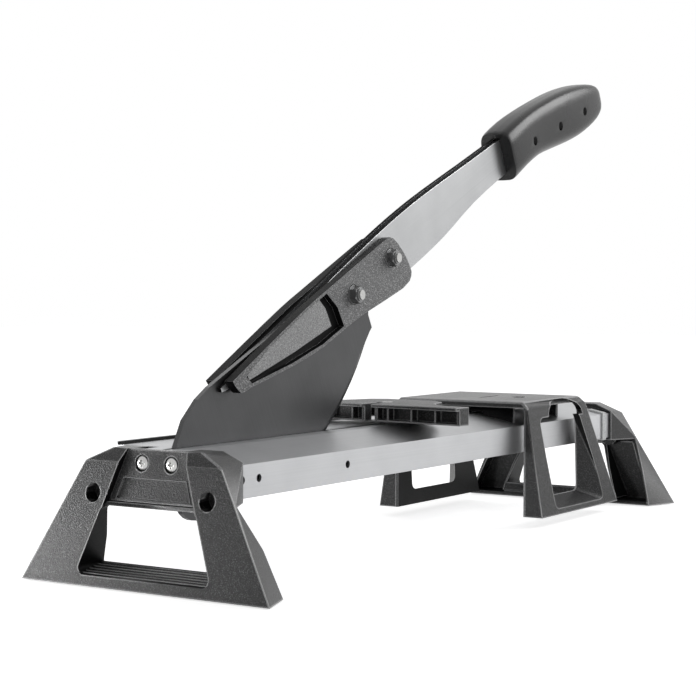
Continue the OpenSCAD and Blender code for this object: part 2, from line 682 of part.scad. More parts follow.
module far_bracket() { color("#4a4c4e") lever_frame() mirror([0, 1, 0]) bracket(); }
bolt_af = 2 * bracket_bolt_r * nut_af_share;
bolt_nut_h = 2 * bracket_bolt_r * nut_h_share;
bolt_head_h = 2 * bracket_bolt_r * head_h_share;
bolt_face = lever_half_t - bolt_sink;
// A hexagon with its corners turned off at the outer end
module hex_cap(from, to, x, z, af) {
    chamfer = (2 / sqrt(3) - 1) * af / 2;
    intersection() {
        hex_y(min(from, to), max(from, to), x, z, af);
        translate([x, from, z]) rotate([to > from ? -90 : 90, 0, 0])
            rotate_extrude() polygon([[0, 0], [af, 0], [af, abs(to - from) - af / 2 + chamfer / 2],
                [af / 2, abs(to - from)], [0, abs(to - from)]]);
    }
}
module bracket_bolts() {
    color("silver") lever_frame() for (p = bolt_places) {
        rod_y(-bolt_face - washer_t - bolt_nut_h - bolt_end, bolt_face + washer_t, p[0], p[1],
            bracket_bolt_r);
        hex_cap(bolt_face + washer_t, bolt_face + washer_t + bolt_head_h, p[0], p[1], bolt_af);
    }
}
module bracket_nuts() {
    color("silver") lever_frame() for (p = bolt_places) difference() {
        union() {
            hex_cap(-bolt_face - washer_t, -bolt_face - washer_t - bolt_nut_h, p[0], p[1], bolt_af);
            rod_y(-bolt_face - washer_t - bolt_nut_h - bolt_end / 2, -bolt_face - washer_t,
                p[0], p[1], bolt_af * 0.42);
        }
        rod_y(-lever_half_t * 3, 0, p[0], p[1], bracket_bolt_r + seat_gap / 4);
    }
}
module bracket_washers() {
    color("#a5a7a9") lever_frame() for (p = bolt_places, side = [-1, 1]) difference() {
        rod_y(min(side * bolt_face, side * (bolt_face + washer_t)),
            max(side * bolt_face, side * (bolt_face + washer_t)), p[0], p[1],
            bracket_bolt_r * washer_r_share);
        rod_y(-lever_half_t * 2, lever_half_t * 2, p[0], p[1], bracket_bolt_r + seat_gap);
    }
}

// Pivot bolt through the rails' inner webs, with its head and nut inside the rails
pivot_grip = slot_half + web_t;
pivot_head_h = pivot_r * pivot_head_h_share;
pivot_nut_h = pivot_r * pivot_nut_h_share;
module pivot_bolt() {
    color("silver") translate([pivot_x, 0, pivot_z]) difference() {
        union() {
            rod_y(-pivot_grip, pivot_grip + pivot_nut_h + bolt_end, 0, 0, pivot_r);
            rod_y(-pivot_grip - pivot_head_h, -pivot_grip, 0, 0, pivot_r * pivot_head_r_share);
        }
        hex_y(-pivot_grip - pivot_head_h - over, -pivot_grip - pivot_head_h / 2, 0, 0,
            pivot_r * hex_key_share * sqrt(3));
    }
}
module pivot_nut() {
    color("silver") translate([pivot_x, 0, pivot_z]) difference() {
        hex_cap(pivot_grip, pivot_grip + pivot_nut_h, 0, 0, 2 * pivot_r * nut_af_share);
        rod_y(0, pivot_grip * 4, 0, 0, pivot_r + seat_gap / 4);
    }
}
module pivot_spacers() {
    gap = slot_half - blade_t / 2;
    color("#b08d3c") translate([pivot_x, 0, pivot_z]) for (side = [-1, 1])
        difference() {
            rod_y(side > 0 ? slot_half - gap * 0.8 : -slot_half,
                side > 0 ? slot_half : -slot_half + gap * 0.8, 0, 0,
                pivot_r * pivot_spacer_share);
            rod_y(-slot_w, slot_w, 0, 0, pivot_r + run_gap);
        }
}

// Handle halves, each a skin over stations along the grip
function handle_ring(station, side) =
    let (row = handle_curve[station], middle = handle_rise + (row[1] + row[2]) / 2 * handle_len,
         reach = (row[1] - row[2]) / 2 * handle_len, thick = row[3] * handle_t / 2)
    [for (i = [0 : handle_arc_steps]) let (a = 90 - 180 * i / handle_arc_steps)
        [handle_start + row[0] * handle_len, side * thick * pow(cos(a), handle_power),
         middle + reach * sign(sin(a)) * pow(abs(sin(a)), handle_power)]];
handle_screw_places = [for (p = handle_screw_shares) on_handle(p)];
module handle_shell(side) {
    outline = arm_outline();
    stations = [for (i = [0 : len(handle_curve) - 1]) handle_ring(i, side)];
    difference() {
        loft(side > 0 ? stations : [for (i = [len(stations) - 1 : -1 : 0]) stations[i]]);
        handle_slot(outline, side);
        for (p = handle_screw_places) {
            rod_y(-handle_t, handle_t, p[0], p[1], handle_screw_r + seat_gap);
            rod_y(side > 0 ? handle_t / 2 - handle_sink : -handle_t, side > 0 ? handle_t
                : -handle_t / 2 + handle_sink, p[0], p[1], handle_sink_r);
        }
    }
}
// Slot that the arm lies in, a seat gap wider than the arm above and below
tang_end = on_handle(tang_top_shares[len(tang_top_shares) - 1])[0];
module handle_slot(outline, side) {
    reach = bracket_y + seat_gap;
    for (lift = [-seat_gap, seat_gap]) translate([0, 0, lift])
        along_y(side > 0 ? -over : -reach, side > 0 ? reach : over, outline);
    along_y(side > 0 ? -over : -reach, side > 0 ? reach : over,
        [for (p = outline) p[0] > tang_end - seat_gap ? p + [seat_gap * 2, 0] : p]);
    along_y(side > 0 ? -over : -reach, side > 0 ? reach : over, spacer_outline(seat_gap));
}
module near_handle_shell() { color("#2b2b2c") lever_frame() handle_shell(-1); }
module far_handle_shell() { color("#2b2b2c") lever_frame() handle_shell(1); }
module handle_screws() {
    seat = handle_t / 2 - handle_sink;
    color("#8a8c8e") lever_frame() for (p = handle_screw_places) {
        rod_y(-seat, seat, p[0], p[1], handle_screw_r);
        for (side = [-1, 1]) difference() {
            rod_y(side > 0 ? seat : -seat - handle_screw_r * 1.2,
                side > 0 ? seat + handle_screw_r * 1.2 : -seat, p[0], p[1],
                handle_sink_r - seat_gap * 2);
            rod_y(side > 0 ? seat + handle_screw_r * 0.4 : -handle_t,
                side > 0 ? handle_t : -seat - handle_screw_r * 0.4, p[0], p[1],
                handle_screw_r * 0.6);
        }
    }
}

// Stop, drawn with its face at x = 0 and its swivel screw at stop_pivot_x
stop_z = anvil_z + stop_clear;
stop_half = stop_len / 2;
module stop_frame() {
    translate([stop_x + stop_pivot_x, 0, 0]) rotate([0, 0, -stop_angle])
        translate([-stop_pivot_x, 0, 0]) children();
}
// Half of the plate's outline: narrow wing, then a curve back to the deep middle
function stop_half_plan(front) = concat([[front, 0], [front, stop_half],
    [stop_wing_depth, stop_half]],
    bend([[stop_wing_depth, stop_half * 0.84], [stop_wing_depth, stop_half * 0.5],
        [stop_depth * 0.86, stop_half * 0.42]], 5),
    [[stop_depth, stop_half * 0.28], [stop_depth, 0]]);
module stop_fence() {
    plate_z = stop_z + stop_h - stop_plate_t;
    color("#37383a") stop_frame() difference() {
        union() {
            for (side = [-1, 1]) {
                // Top plate with its front lip
                translate([0, 0, plate_z]) linear_extrude(stop_plate_t)
                    polygon([for (p = stop_half_plan(-stop_lip)) [p[0], side * p[1]]]);
                // Wall behind the ribs, and the rim round the back
                translate([0, 0, stop_z]) linear_extrude(stop_h) difference() {
                    polygon([for (p = stop_half_plan(stop_web_x)) [p[0], side * p[1]]]);
                    polygon([for (p = stop_half_plan(stop_web_x)) let (q = p - [stop_web_x, 0])
                        [stop_web_x + stop_plate_t / 1.5
                            + q[0] * (1 - 1.6 * stop_plate_t / stop_depth),
                         side * q[1] * (1 - 1.4 * stop_plate_t / stop_half)
                            - side * (q[1] == 0 ? over : 0)]]);
                }
                // Bottom flange, end wall and ribs of the open front
                translate([0, side > 0 ? stop_gap / 2 : -stop_half, stop_z])
                    cube([stop_web_x + stop_rib_t, stop_half - stop_gap / 2, stop_rib_t]);
                for (y = [stop_gap / 2 : stop_half : stop_half])
                    translate([0, side > 0 ? y : -y - stop_plate_t, stop_z])
                        cube([stop_web_x + stop_rib_t, stop_plate_t, stop_h]);
                translate([0, side > 0 ? stop_half - stop_plate_t : -stop_half, stop_z])
                    cube([stop_wing_depth, stop_plate_t, stop_h]);
                for (y = [stop_first_rib : stop_rib_gap : stop_half - stop_rib_gap / 2])
                    translate([0, side * y - stop_rib_t / 2, stop_z])
                        cube([stop_web_x + stop_rib_t, stop_rib_t, stop_h]);
            }
            translate([stop_pivot_x, 0, stop_z - stop_clear + seat_gap])
                cylinder(h = stop_h + stop_clear - seat_gap, r = stop_boss_r);
        }
        // Blade gap in the face and in the plate
        translate([-stop_lip - over, -stop_gap / 2, stop_z - over])
            cube([stop_lip + stop_slot_len + over, stop_gap, stop_h + 2 * over]);
        translate([stop_pivot_x, 0, stop_z - stop_clear]) {
            cylinder(h = stop_h * 2, r = stop_screw_r + run_gap);
            translate([0, 0, stop_clear + stop_h - stop_head_h])
                cylinder(h = stop_head_h + over, r = stop_head_r + seat_gap);
        }
    }
}
module stop_screw() {
    head_z = stop_z + stop_h - stop_head_h;
    low = rail_z - clamp_plate[2] - seat_gap - bolt_end;
    color("silver") translate([stop_x + stop_pivot_x, 0, 0]) difference() {
        union() {
            translate([0, 0, low]) cylinder(h = stop_z + stop_h - low, r = stop_screw_r);
            translate([0, 0, head_z + run_gap]) cylinder(h = stop_head_h - run_gap, r = stop_head_r);
        }
        translate([0, 0, head_z + stop_head_h / 3])
            cylinder(h = stop_head_h, r = stop_screw_r, $fn = 6);
    }
}
module stop_clamp_plate() {
    color("#8f9295") translate([stop_x + stop_pivot_x, 0, 0]) difference() {
        translate([-clamp_plate[0] / 2, -clamp_plate[1] / 2, rail_z - clamp_plate[2]])
            cube(clamp_plate);
        translate([0, 0, rail_z - clamp_plate[2] * 2]) cylinder(h = clamp_plate[2] * 3,
            r = stop_screw_r + seat_gap / 4);
    }
}

// Panel stand: a table on two flared legs, carried over the rails
module stand_block() {
    hull() {
        flat_at(stand_z, [[0, -stand_half], [0, stand_half],
            [stand_len, stand_half], [stand_len, -stand_half]]);
        flat_at(stand_top_z - stand_plate - slice, [[0, -stand_top_w / 2 - stand_plate / 8],
            [0, stand_top_w / 2 + stand_plate / 8],
            [stand_top_len, stand_top_w / 2 + stand_plate / 8],
            [stand_top_len, -stand_top_w / 2 - stand_plate / 8]]);
        flat_at(stand_top_z - slice, [[stand_plate / 4, -stand_top_w / 2 + stand_plate],
            [stand_plate / 4, stand_top_w / 2 - stand_plate],
            [stand_top_len - stand_plate / 4, stand_top_w / 2 - stand_plate],
            [stand_top_len - stand_plate / 4, -stand_top_w / 2 + stand_plate]]);
    }
}
// Window through one leg: a flared opening outside, upright inside, under an arch
module stand_window(side) {
    sill_z = stand_z + stand_sill;
    lintel_z = stand_top_z - stand_plate - stand_arch_h;
    flare = (stand_len - stand_top_len) * (lintel_z - sill_z) / stand_h;
    outer = [[stand_strip * 1.45, sill_z], [stand_len - stand_rear_strip, sill_z],
        [stand_len - stand_rear_strip - flare, lintel_z], [stand_strip, lintel_z]];
    inner = [[stand_strip * 1.3, sill_z + 2 * stand_sill],
        [stand_inner_len - stand_inner_strip, sill_z + 2 * stand_sill],
        [stand_top_len - stand_inner_strip, lintel_z], [stand_strip, lintel_z]];
    hull() {
        along_y(side > 0 ? stand_half : -stand_half - over,
            side > 0 ? stand_half + over : -stand_half, rounded(outer, stand_round, 3));
        along_y(side > 0 ? stand_inner - over : -stand_inner,
            side > 0 ? stand_inner : -stand_inner + over, rounded(inner, stand_round, 3));
    }
    // Arch up into the edge of the table
    along_y(side > 0 ? stand_inner - over : -stand_half, side > 0 ? stand_half : -stand_inner + over,
        [for (p = spline(stand_arch_shares, 3))
            [p[0] * stand_top_len, lintel_z - over + p[1] * (stand_top_z - lintel_z + over)]]);
}
// Rib under the deck, seated on the far deck and the near slope, clear of the near anvil face
function slope_z(y) = anvil_z - (y - slot_half - anvil_w) * (anvil_z - rail_side_z)
    / (rail_half - slot_half - anvil_w);
function stand_rib_outline() = let (end = rail_half - 3 * stand_rib_t,
    edge = slot_half + anvil_w + stand_rib_t) [
    [end, anvil_z + seat_gap], [-slot_half, anvil_z + seat_gap],
    [-slot_half, anvil_z + stop_clear], [-edge, anvil_z + stop_clear],
    [-edge, slope_z(edge) + seat_gap], [-end, slope_z(end) + seat_gap],
    [-end, anvil_z + stand_rise], [end, anvil_z + stand_rise]];
module panel_stand() {
    color("#3a3b3d") translate([stand_x, 0, 0]) difference() {
        stand_block();
        // Clear way for the rails, with the ribs that rest on them left standing
        difference() {
            translate([-over, -stand_inner, stand_z - over])
                cube([stand_len + 2 * over, stand_inner_w, stand_top_z - stand_plate - stand_z + over]);
            for (x = [stand_strip / 2, stand_top_len - stand_strip])
                along_x(x, x + stand_rib_t, stand_rib_outline());
        }
        for (side = [-1, 1]) stand_window(side);
        translate([stand_top_len * 0.56, -stand_inner * 0.4, stand_top_z - stand_plate - over])
            cylinder(h = stand_plate + 2 * over, r = stand_hole_r);
        translate([stand_top_len * 0.33, -stand_slot[1] / 2, stand_top_z - stand_plate - over])
            cube([stand_slot[0], stand_slot[1], stand_plate + 2 * over]);
    }
}

front_foot();
rear_foot();
front_foot_pads();
rear_foot_pads();
near_rail();
far_rail();
far_edge_strip();
near_shear_strip();
far_shear_strip();
rail_end_collar();
front_foot_screws();
rear_foot_screws();
blade();
pivot_bolt();
pivot_nut();
pivot_spacers();
near_arm();
far_arm();
arm_spacer();
near_bracket();
far_bracket();
bracket_bolts();
bracket_nuts();
bracket_washers();
near_handle_shell();
far_handle_shell();
handle_screws();
stop_fence();
stop_screw();
stop_clamp_plate();
panel_stand();
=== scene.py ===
from math import cos, radians, sin

import bmesh
import bpy
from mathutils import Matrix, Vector


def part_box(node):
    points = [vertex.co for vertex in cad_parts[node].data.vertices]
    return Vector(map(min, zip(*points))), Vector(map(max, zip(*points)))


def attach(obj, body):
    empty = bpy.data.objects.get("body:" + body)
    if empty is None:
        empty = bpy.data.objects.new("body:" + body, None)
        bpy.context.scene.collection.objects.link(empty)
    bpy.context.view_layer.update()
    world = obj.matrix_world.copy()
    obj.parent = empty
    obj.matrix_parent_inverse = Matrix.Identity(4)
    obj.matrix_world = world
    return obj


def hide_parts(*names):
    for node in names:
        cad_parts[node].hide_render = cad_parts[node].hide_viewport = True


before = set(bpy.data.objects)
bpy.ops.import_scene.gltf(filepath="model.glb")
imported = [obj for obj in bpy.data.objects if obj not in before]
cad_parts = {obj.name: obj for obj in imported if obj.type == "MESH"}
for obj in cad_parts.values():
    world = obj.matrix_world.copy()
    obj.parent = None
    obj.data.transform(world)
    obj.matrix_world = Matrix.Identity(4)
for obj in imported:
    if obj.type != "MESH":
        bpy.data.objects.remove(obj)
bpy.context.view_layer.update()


# The room: a white sweep under the tool, a white sky behind it that is dimmer as a
# light than as a background, and the camera at the photographer's place.
scene = bpy.context.scene
scene.view_settings.view_transform = "Standard"

LENS_MM = 91.08
SENSOR_MM = 36
CAMERA_PLACE = (-1.341775, -0.813485, 0.220117)
CAMERA_TILT = radians(88.0007)
CAMERA_HEADING = radians(-56.7189)
camera_data = bpy.data.cameras.new("camera")
camera_data.lens = LENS_MM
camera_data.sensor_width = SENSOR_MM
camera = bpy.data.objects.new("camera", camera_data)
camera.location = CAMERA_PLACE
camera.rotation_euler = (CAMERA_TILT, 0, CAMERA_HEADING)
scene.collection.objects.link(camera)
scene.camera = camera


def shown_white(tree):
    """Mask of the rays that meet plain white: seen straight, mirrored or let through."""
    rays = tree.nodes.new("ShaderNodeLightPath")
    mask = rays.outputs["Is Camera Ray"]
    for kind in ("Is Glossy Ray", "Is Transmission Ray"):
        either = tree.nodes.new("ShaderNodeMath")
        either.operation = "MAXIMUM"
        tree.links.new(mask, either.inputs[0])
        tree.links.new(rays.outputs[kind], either.inputs[1])
        mask = either.outputs[0]
    return mask


SKY_LIGHT = 0.34
world = bpy.data.worlds.new("white_room")
scene.world = world
world.use_nodes = True
sky_tree = world.node_tree
sky = sky_tree.nodes["Background"]
sky.inputs["Color"].default_value = (1, 1, 1, 1)
sky_strength = sky_tree.nodes.new("ShaderNodeMapRange")
sky_strength.inputs["To Min"].default_value = SKY_LIGHT
sky_tree.links.new(shown_white(sky_tree), sky_strength.inputs["Value"])
sky_tree.links.new(sky_strength.outputs["Result"], sky.inputs["Strength"])


def area_lamp(name, place, aim, size, watts):
    """Round soft box at a place, turned to face a point."""
    lamp_data = bpy.data.lights.new(name, "AREA")
    lamp_data.shape = "DISK"
    lamp_data.size = size
    lamp_data.energy = watts
    lamp = bpy.data.objects.new(name, lamp_data)
    lamp.location = place
    lamp.rotation_euler = (Vector(place) - Vector(aim)).to_track_quat("Z", "Y").to_euler()
    scene.collection.objects.link(lamp)


area_lamp("key_lamp", place=(1.7, -1.25, 1.35), aim=(0, 0, 0.1), size=1.3, watts=24)
area_lamp("foot_lamp", place=(-0.5, 0.33, 0.02), aim=(-0.375, 0.12, 0.01), size=0.12,
          watts=1.3)
area_lamp("back_lamp", place=(1.0, 1.7, 1.5), aim=(0, 0, 0.2), size=0.9, watts=3)

FLOOR_SIZE = 12
FLOOR_DROP = 0.0002
FLOOR_GLOW = 0.74
bpy.ops.object.select_all(action="DESELECT")
bpy.ops.mesh.primitive_plane_add(size=FLOOR_SIZE, location=(0, 0, -FLOOR_DROP))
floor = bpy.context.object
floor.name = "floor"
floor_paint = bpy.data.materials.new("floor_white")
floor_paint.use_nodes = True
floor_tree = floor_paint.node_tree
floor_shader = floor_tree.nodes["Principled BSDF"]
floor_shader.inputs["Base Color"].default_value = (0.86, 0.86, 0.86, 1)
floor_shader.inputs["Roughness"].default_value = 0.9
floor_shader.inputs["Specular IOR Level"].default_value = 0.1
floor_shader.inputs["Emission Color"].default_value = (1, 1, 1, 1)
floor_glow = floor_tree.nodes.new("ShaderNodeMath")
floor_glow.operation = "MULTIPLY"
floor_glow.inputs[1].default_value = FLOOR_GLOW
floor_tree.links.new(shown_white(floor_tree), floor_glow.inputs[0])
floor_tree.links.new(floor_glow.outputs[0], floor_shader.inputs["Emission Strength"])
floor.data.materials.append(floor_paint)


# Feet: two hollow mouldings in black glass-filled plastic, with a spark-eroded skin and
# rounded edges in a lighter colour as painted highlight. Each has a carrying window, a
# recessed bridge panel and a collar that is pushed over the rail ends and screwed to them.
def shader_group(name, inputs, outputs):
    """Empty shader group with named sockets, its input node and its output node."""
    group = bpy.data.node_groups.new(name, "ShaderNodeTree")
    for label, kind, value in inputs:
        socket = group.interface.new_socket(label, in_out="INPUT", socket_type=kind)
        socket.default_value = value
    for label, kind in outputs:
        group.interface.new_socket(label, in_out="OUTPUT", socket_type=kind)
    return group, group.nodes.new("NodeGroupInput"), group.nodes.new("NodeGroupOutput")


# Skin of a moulding or casting: fine pits, sparse pale flecks, slow cloudiness and a
# painted highlight along outer edges
skin, skin_in, skin_out = shader_group(
    "textured_skin",
    [("Colour", "NodeSocketColor", (0.03, 0.03, 0.03, 1)),
     ("Fleck Colour", "NodeSocketColor", (0.2, 0.2, 0.2, 1)),
     ("Grain Size", "NodeSocketFloat", 1400.0),
     ("Fleck Amount", "NodeSocketFloat", 0.3),
     ("Relief", "NodeSocketFloat", 0.3),
     ("Roughness", "NodeSocketFloat", 0.6),
     ("Edge Wear", "NodeSocketFloat", 0.0),
     ("Edge Colour", "NodeSocketColor", (0.5, 0.5, 0.504, 1))],
    [("Colour", "NodeSocketColor"), ("Roughness", "NodeSocketFloat"),
     ("Normal", "NodeSocketVector")])


def add_node(group, kind, **values):
    """Node in a group, with its settings and its sockets' values given by name."""
    made = group.nodes.new(kind)
    for label, value in values.items():
        if hasattr(made, label):
            setattr(made, label, value)
        else:
            made.inputs[label.replace("_", " ")].default_value = value
    return made


place = add_node(skin, "ShaderNodeTexCoord")
pits = add_node(skin, "ShaderNodeTexNoise", Detail=3.0, Roughness=0.6)
pit_range = add_node(skin, "ShaderNodeMapRange", From_Min=0.3, From_Max=0.7, To_Min=0.45,
                     To_Max=1.6)
pitted = add_node(skin, "ShaderNodeVectorMath", operation="SCALE")
flecks = add_node(skin, "ShaderNodeTexVoronoi", feature="F1")
fleck_mask = add_node(skin, "ShaderNodeMapRange", From_Min=0.5, From_Max=0.15)
fleck_pick = add_node(skin, "ShaderNodeMath", operation="MULTIPLY")
fleck_share = add_node(skin, "ShaderNodeMath", operation="MULTIPLY")
cloud = add_node(skin, "ShaderNodeTexNoise", Scale=14.0, Detail=2.0)
cloud_range = add_node(skin, "ShaderNodeMapRange", To_Min=0.8, To_Max=1.2)
clouded = add_node(skin, "ShaderNodeVectorMath", operation="SCALE")
paint = add_node(skin, "ShaderNodeMix", data_type="RGBA")
gloss = add_node(skin, "ShaderNodeMapRange", To_Min=-0.08, To_Max=0.08)
gloss_sum = add_node(skin, "ShaderNodeMath", operation="ADD")
relief = add_node(skin, "ShaderNodeBump", Distance=0.0006)
# Painted highlight on outer edges: where the rounded normal leaves the true one, but not
# in sunk corners
surface = add_node(skin, "ShaderNodeNewGeometry")
arris = add_node(skin, "ShaderNodeBevel", samples=6, Radius=0.0022)
agreement = add_node(skin, "ShaderNodeVectorMath", operation="DOT_PRODUCT")
arris_mask = add_node(skin, "ShaderNodeMapRange", From_Min=0.995, From_Max=0.9)
sunk = add_node(skin, "ShaderNodeAmbientOcclusion", samples=6, Distance=0.003)
sunk_mask = add_node(skin, "ShaderNodeMapRange", From_Min=0.6, From_Max=0.9)
arris_out = add_node(skin, "ShaderNodeMath", operation="MULTIPLY")
edge_highlight = add_node(skin, "ShaderNodeMath", operation="MULTIPLY")
highlit_paint = add_node(skin, "ShaderNodeMix", data_type="RGBA")
for start, end in [
    (place.outputs["Object"], pits.inputs["Vector"]),
    (place.outputs["Object"], flecks.inputs["Vector"]),
    (place.outputs["Object"], cloud.inputs["Vector"]),
    (skin_in.outputs["Grain Size"], pits.inputs["Scale"]),
    (skin_in.outputs["Grain Size"], flecks.inputs["Scale"]),
    (skin_in.outputs["Colour"], clouded.inputs[0]),
    (cloud.outputs["Fac"], cloud_range.inputs["Value"]),
    (cloud_range.outputs["Result"], clouded.inputs["Scale"]),
    (clouded.outputs["Vector"], pitted.inputs[0]),
    (pits.outputs["Fac"], pit_range.inputs["Value"]),
    (pit_range.outputs["Result"], pitted.inputs["Scale"]),
    (flecks.outputs["Distance"], fleck_mask.inputs["Value"]),
    (fleck_mask.outputs["Result"], fleck_pick.inputs[0]),
    (flecks.outputs["Color"], fleck_pick.inputs[1]),
    (fleck_pick.outputs[0], fleck_share.inputs[0]),
    (skin_in.outputs["Fleck Amount"], fleck_share.inputs[1]),
    (fleck_share.outputs[0], paint.inputs["Factor"]),
    (pitted.outputs["Vector"], paint.inputs["A"]),
    (skin_in.outputs["Fleck Colour"], paint.inputs["B"]),
    (surface.outputs["Normal"], agreement.inputs[0]),
    (arris.outputs["Normal"], agreement.inputs[1]),
    (agreement.outputs["Value"], arris_mask.inputs["Value"]),
    (sunk.outputs["AO"], sunk_mask.inputs["Value"]),
    (arris_mask.outputs["Result"], arris_out.inputs[0]),
    (sunk_mask.outputs["Result"], arris_out.inputs[1]),
    (arris_out.outputs[0], edge_highlight.inputs[0]),
    (skin_in.outputs["Edge Wear"], edge_highlight.inputs[1]),
    (edge_highlight.outputs[0], highlit_paint.inputs["Factor"]),
    (paint.outputs["Result"], highlit_paint.inputs["A"]),
    (skin_in.outputs["Edge Colour"], highlit_paint.inputs["B"]),
    (cloud.outputs["Fac"], gloss.inputs["Value"]),
    (gloss.outputs["Result"], gloss_sum.inputs[0]),
    (skin_in.outputs["Roughness"], gloss_sum.inputs[1]),
    (pits.outputs["Fac"], relief.inputs["Height"]),
    (skin_in.outputs["Relief"], relief.inputs["Strength"]),
    (highlit_paint.outputs["Result"], skin_out.inputs["Colour"]),
    (gloss_sum.outputs[0], skin_out.inputs["Roughness"]),
    (relief.outputs["Normal"], skin_out.inputs["Normal"]),
]:
    skin.links.new(start, end)


def finish(name, group, settings, **own):
    """Material with one surface group feeding its shader, and its own even values."""
    material = bpy.data.materials.new(name)
    material.use_nodes = True
    shader = material.node_tree.nodes["Principled BSDF"]
    for label, value in own.items():
        shader.inputs[label.replace("_", " ")].default_value = value
    coat = material.node_tree.nodes.new("ShaderNodeGroup")
    coat.node_tree = group
    for label, value in settings.items():
        coat.inputs[label].default_value = value
    for source, target in [("Colour", "Base Color"), ("Roughness", "Roughness"),
                           ("Normal", "Normal")]:
        material.node_tree.links.new(coat.outputs[source], shader.inputs[target])
    return material


# Its edges get the skin's lighter edge colour as painted highlight
moulded_black = finish(
    "moulded_black", skin,
    {"Colour": (0.013, 0.0132, 0.0136, 1), "Fleck Colour": (0.2, 0.2, 0.204, 1),
     "Grain Size": 900.0, "Fleck Amount": 0.7, "Relief": 0.7, "Roughness": 0.38,
     "Edge Wear": 1.0},
    Specular_IOR_Level=0.3)
# Rounded edges of feet, stop and stand, and the bead, take this lighter copy as painted
# highlight
painted_highlight_edge = finish(
    "painted_highlight_edge", skin,
    {"Colour": (0.2, 0.202, 0.206, 1), "Fleck Colour": (0.5, 0.5, 0.504, 1),
     "Grain Size": 1100.0, "Fleck Amount": 0.4, "Relief": 0.2, "Roughness": 0.22},
    Specular_IOR_Level=0.8)
# Near-black copy for walls inside the feet's windows and for the stand's inner walls and
# underside: painted shade
painted_shade_wall = finish(
    "painted_shade_wall", skin,
    {"Colour": (0.004, 0.004, 0.0042, 1), "Fleck Colour": (0.05, 0.05, 0.052, 1),
     "Grain Size": 1400.0, "Fleck Amount": 0.25, "Relief": 0.2, "Roughness": 0.42},
    Specular_IOR_Level=0.12)
# Lighter, glossier copy for the feet's flanks: painted sheen; its edges carry painted
# highlight
flank_painted_sheen = finish(
    "flank_painted_sheen", skin,
    {"Colour": (0.02, 0.0202, 0.0206, 1), "Fleck Colour": (0.2, 0.2, 0.204, 1),
     "Grain Size": 1100.0, "Fleck Amount": 0.5, "Relief": 0.35, "Roughness": 0.3,
     "Edge Wear": 1.0},
    Specular_IOR_Level=0.55)

# An edge is rounded where it and its neighbours are this many rounding widths long, and
# the faces' corners on it are at least this wide
LEAST_RUN = 3
LEAST_NEIGHBOUR = 2.2
LEAST_CORNER = radians(24)


def mark_edges(piece, width, turn):
    """Weight the long, open edges, which can be rounded without their corners crossing."""
    shape = bmesh.new()
    shape.from_mesh(piece.data)
    weight = shape.edges.layers.float.new("bevel_weight_edge")
    for edge in shape.edges:
        if len(edge.link_faces) != 2 or edge.calc_face_angle(0) < radians(turn):
            continue
        near = [other.calc_length() for end in edge.verts for other in end.link_edges]
        corners = [loop.calc_angle() for end in edge.verts for loop in end.link_loops
                   if loop.face in edge.link_faces]
        has_length = edge.calc_length() > LEAST_RUN * width
        has_room = min(near) > LEAST_NEIGHBOUR * width and min(corners) > LEAST_CORNER
        if has_length and has_room:
            edge[weight] = 1
    shape.to_mesh(piece.data)
    shape.free()


WELD_GAP = 0.00001
FLAT_TURN = radians(0.05)
SOFT_TURN = radians(38)
EDGE_SLOT, OWN_SLOT = 1, -1


def ease_edges(name, nodes, material, body, edge=0, turn=30, segments=2,
               smooth=True, edge_material=None):
    """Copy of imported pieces, merged into whole faces, with its edges rounded over."""
    copies = []
    bpy.ops.object.select_all(action="DESELECT")
    for node in nodes:
        copy = bpy.data.objects.new(name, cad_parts[node].data.copy())
        scene.collection.objects.link(copy)
        copy.select_set(True)
        copies.append(copy)
    bpy.context.view_layer.objects.active = copies[0]
    if len(copies) > 1:
        bpy.ops.object.join()
    piece = bpy.context.view_layer.objects.active
    piece.name = name
    piece.data.materials.clear()
    piece.data.materials.append(material)
    if edge_material:
        piece.data.materials.append(edge_material)
    bpy.ops.object.mode_set(mode="EDIT")
    bpy.ops.mesh.select_all(action="SELECT")
    bpy.ops.mesh.remove_doubles(threshold=WELD_GAP)
    if edge:
        bpy.ops.mesh.dissolve_limited(angle_limit=FLAT_TURN)
    bpy.ops.object.mode_set(mode="OBJECT")
    if edge:
        mark_edges(piece, edge, turn)
        rounding = piece.modifiers.new("rounding", "BEVEL")
        rounding.width = edge
        rounding.segments = segments
        rounding.limit_method = "WEIGHT"
        rounding.material = EDGE_SLOT if edge_material else OWN_SLOT
        bpy.ops.object.modifier_apply(modifier="rounding")
    if smooth:
        bpy.ops.object.shade_smooth_by_angle(angle=SOFT_TURN)
        flats = piece.modifiers.new("flats", "WEIGHTED_NORMAL")
        flats.keep_sharp = True
        bpy.ops.object.modifier_apply(modifier="flats")
    else:
        bpy.ops.object.shade_flat()
    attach(piece, body)
    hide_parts(*nodes)
    return piece


def paint_faces(piece, finishes, pick):
    """Further finishes, picked face by face; rounded edges keep the one they have."""
    for further in finishes:
        piece.data.materials.append(further)
    for face in piece.data.polygons:
        picked = pick(face)
        if picked and not face.material_index:
            face.material_index = piece.data.materials.find(picked.name)


END_FACE_X = 0.6
WINDOW_HALF_W = 0.078
WINDOW_TOP_Z = 0.068


def foot_finish(face):
    """Raked end faces keep the grain; window walls get a near-black colour as painted
    shade, and the flanks a lighter, glossier one as painted sheen.
    """
    if abs(face.normal.x) > END_FACE_X:
        return None
    inside = abs(face.center.y) < WINDOW_HALF_W and face.center.z < WINDOW_TOP_Z
    return painted_shade_wall if inside else flank_painted_sheen


for end in ("front", "rear"):
    foot = ease_edges(f"{end}_foot_moulding", [f"{end}_foot"], moulded_black,
                      "base", edge=0.0011, segments=3,
                      edge_material=painted_highlight_edge)
    paint_faces(foot, [painted_shade_wall, flank_painted_sheen], foot_finish)

